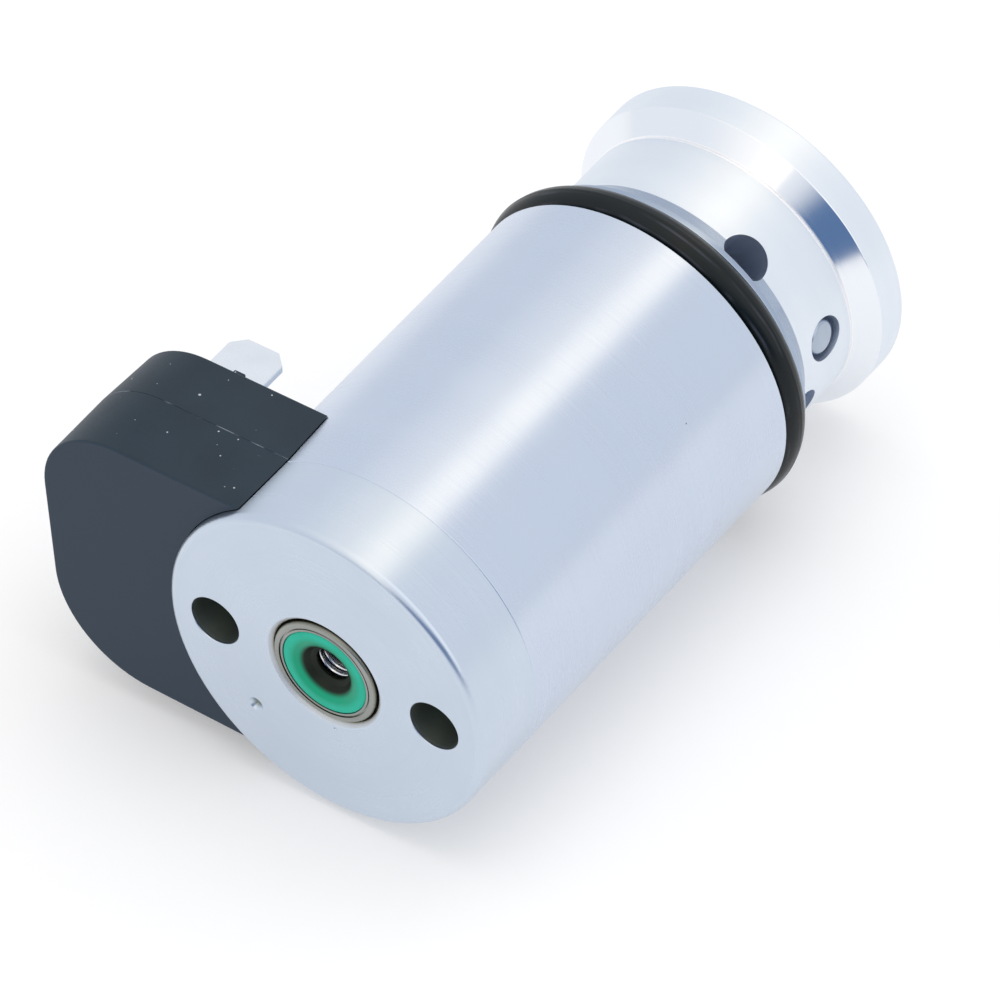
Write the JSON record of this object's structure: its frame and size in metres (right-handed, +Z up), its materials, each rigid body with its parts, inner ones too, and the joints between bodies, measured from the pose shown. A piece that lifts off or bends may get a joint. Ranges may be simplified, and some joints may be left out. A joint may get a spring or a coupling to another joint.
{
  "type": "air brake solenoid valve",
  "caption": "Cartridge solenoid valve: steel coil can with thick end cap, sealed port, black moulded connector with blade terminals, O-ring and ported aluminium valve body",
  "frame": {"origin": "centre of the end cap's outer face, on the axis of the coil can, midway between the two fixing holes", "axes": "+Y runs along the valve from the end cap's face to the flange end, +Z is up with the valve lying on its side, and the connector stands out on the -X side"},
  "size_m": [0.0516, 0.0705, 0.037],
  "materials": {
    "end_cap": "satin machined steel, zinc-nickel plated",
    "coil_can": "satin drawn steel, zinc plated",
    "port_seal_case": "turned stainless steel with a warm tint",
    "port_seal": "green moulded seal rubber, semi-matt",
    "seal_spring": "bright spring steel wire",
    "pole_core": "turned magnetic stainless steel",
    "core_o_ring": "black nitrile rubber",
    "guide_tube": "drawn stainless tube",
    "return_spring": "bright spring steel wire",
    "armature": "ground magnetic stainless steel",
    "exhaust_seal": "black seal rubber",
    "supply_seal": "black seal rubber",
    "bobbin": "glass-filled nylon, black",
    "coil_winding": "enamelled copper wire",
    "winding_tape": "polyester insulating tape, amber",
    "coil_lead_upper": "insulated lead, red",
    "coil_lead_lower": "insulated lead, black",
    "flux_ring": "turned mild steel",
    "tube_o_ring": "black nitrile rubber",
    "valve_body": "turned aluminium, bright clear anodised",
    "body_o_ring": "black nitrile rubber, greased",
    "back_ring": "grey anodised aluminium",
    "closing_plug": "zinc-plated steel plug",
    "supply_nozzle": "turned stainless steel",
    "inlet_filter": "sintered bronze",
    "filter_ring": "spring steel ring",
    "connector_housing": "black glass-filled nylon",
    "connector_cover": "black glass-filled nylon",
    "terminal_blade_upper": "tin-plated brass blade",
    "terminal_blade_lower": "tin-plated brass blade"
  },
  "bodies": {
    "valve": {"end_cap": "end_cap", "coil_can": "coil_can", "seal_spring": "seal_spring", "pole_core": "pole_core", "core_o_ring": "core_o_ring", "guide_tube": "guide_tube", "return_spring": "return_spring", "bobbin": "bobbin", "coil_winding": "coil_winding", "winding_tape": "winding_tape", "coil_lead_upper": "coil_lead_upper", "coil_lead_lower": "coil_lead_lower", "flux_ring": "flux_ring", "tube_o_ring": "tube_o_ring", "valve_body": "valve_body", "body_o_ring": "body_o_ring", "back_ring": "back_ring", "closing_plug": "closing_plug", "supply_nozzle": "supply_nozzle", "inlet_filter": "inlet_filter", "filter_ring": "filter_ring", "connector_housing": "connector_housing", "connector_cover": "connector_cover", "terminal_blade_upper": "terminal_blade_upper", "terminal_blade_lower": "terminal_blade_lower"},
    "armature": {"armature": "armature", "exhaust_seal": "exhaust_seal", "supply_seal": "supply_seal"},
    "face_seal": {"port_seal_case": "port_seal_case", "port_seal": "port_seal"}
  },
  "joints": [
    {"name": "armature_lift", "type": "slide", "parent": "valve", "child": "armature", "axis": [0, -1, 0], "range_m": [0, 0.0009], "stiffness_N_per_m": 1000, "springref_m": -0.003, "deforming": ["return_spring"]},
    {"name": "face_seal_press", "type": "slide", "parent": "valve", "child": "face_seal", "axis": [0, 1, 0], "range_m": [0, 0.0005], "stiffness_N_per_m": 300, "springref_m": -0.004, "deforming": ["seal_spring"]}
  ]
}
